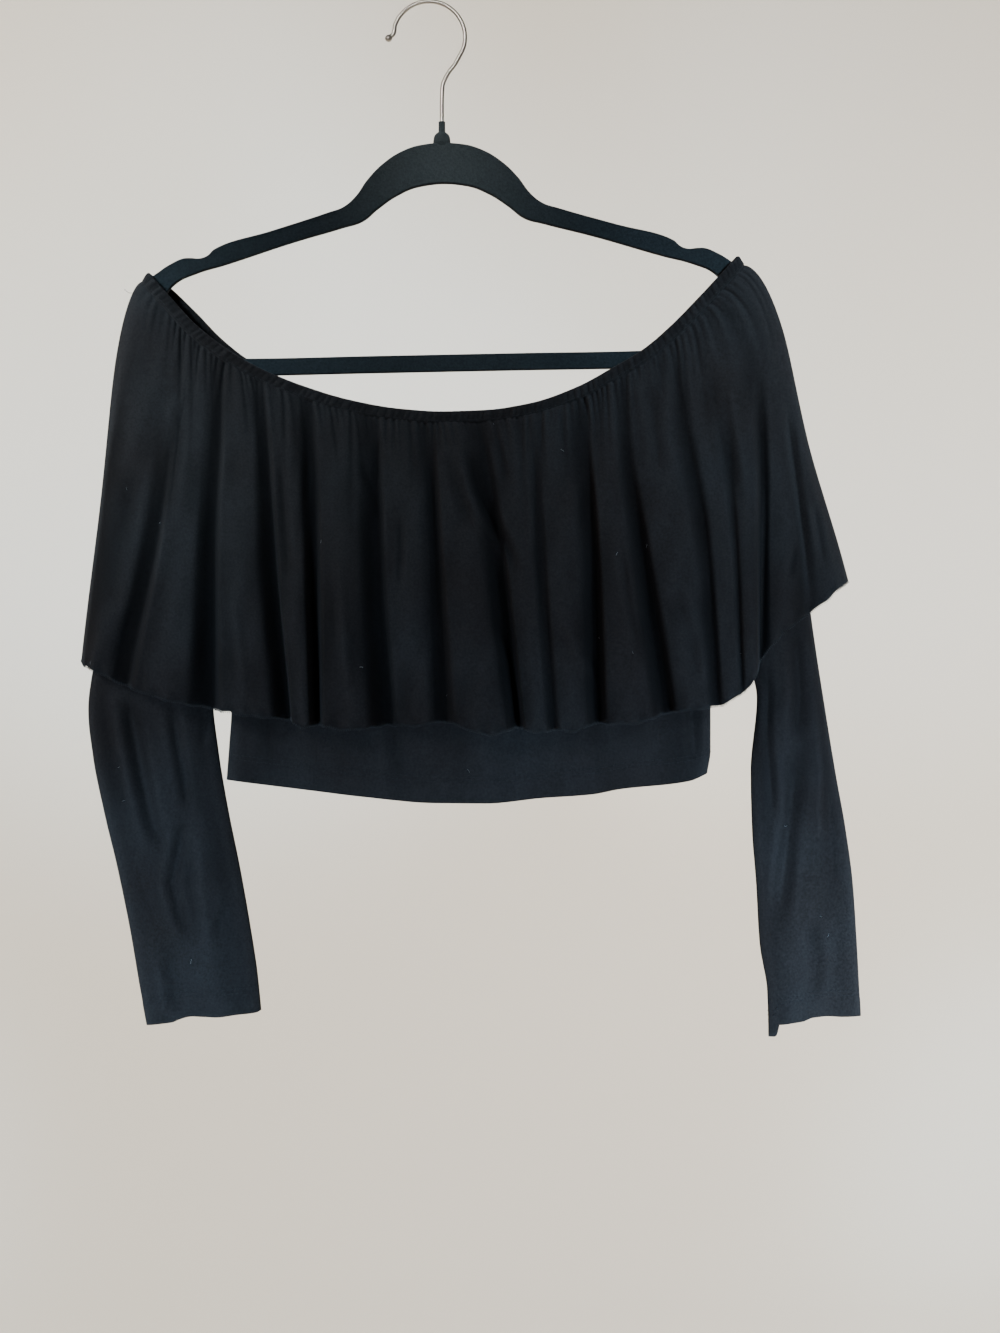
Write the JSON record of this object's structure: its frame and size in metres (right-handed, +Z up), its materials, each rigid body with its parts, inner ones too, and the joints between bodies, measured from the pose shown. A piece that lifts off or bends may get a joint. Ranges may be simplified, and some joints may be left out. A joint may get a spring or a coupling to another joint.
{
  "type": "off-shoulder top on a hanger",
  "caption": "Long-sleeved off-shoulder crop top with a gathered flounce round an elastic neck casing, hanging flat from a slim flocked hanger with a wire hook.",
  "frame": {"origin": "where the hook rests: the inside of the hook's top, on the wire's middle plane", "axes": "+Z up, front of the top towards -Y, +X to the right seen from the front"},
  "size_m": [0.5717, 0.0622, 0.7596],
  "materials": {
    "jersey": "matte black knitted viscose jersey",
    "flock": "black velvet flock on moulded plastic",
    "hook_steel": "polished plated steel wire"
  },
  "bodies": {
    "root": {"neck_casing": "jersey", "flounce_front": "jersey", "flounce_back": "jersey", "bodice_front": "jersey", "bodice_back": "jersey", "sleeve_left_cap": "jersey", "sleeve_left": "jersey", "sleeve_right_cap": "jersey", "sleeve_right": "jersey", "hanger_body": "flock", "hanger_collar": "flock", "hanger_hook": "hook_steel"}
  },
  "joints": []
}
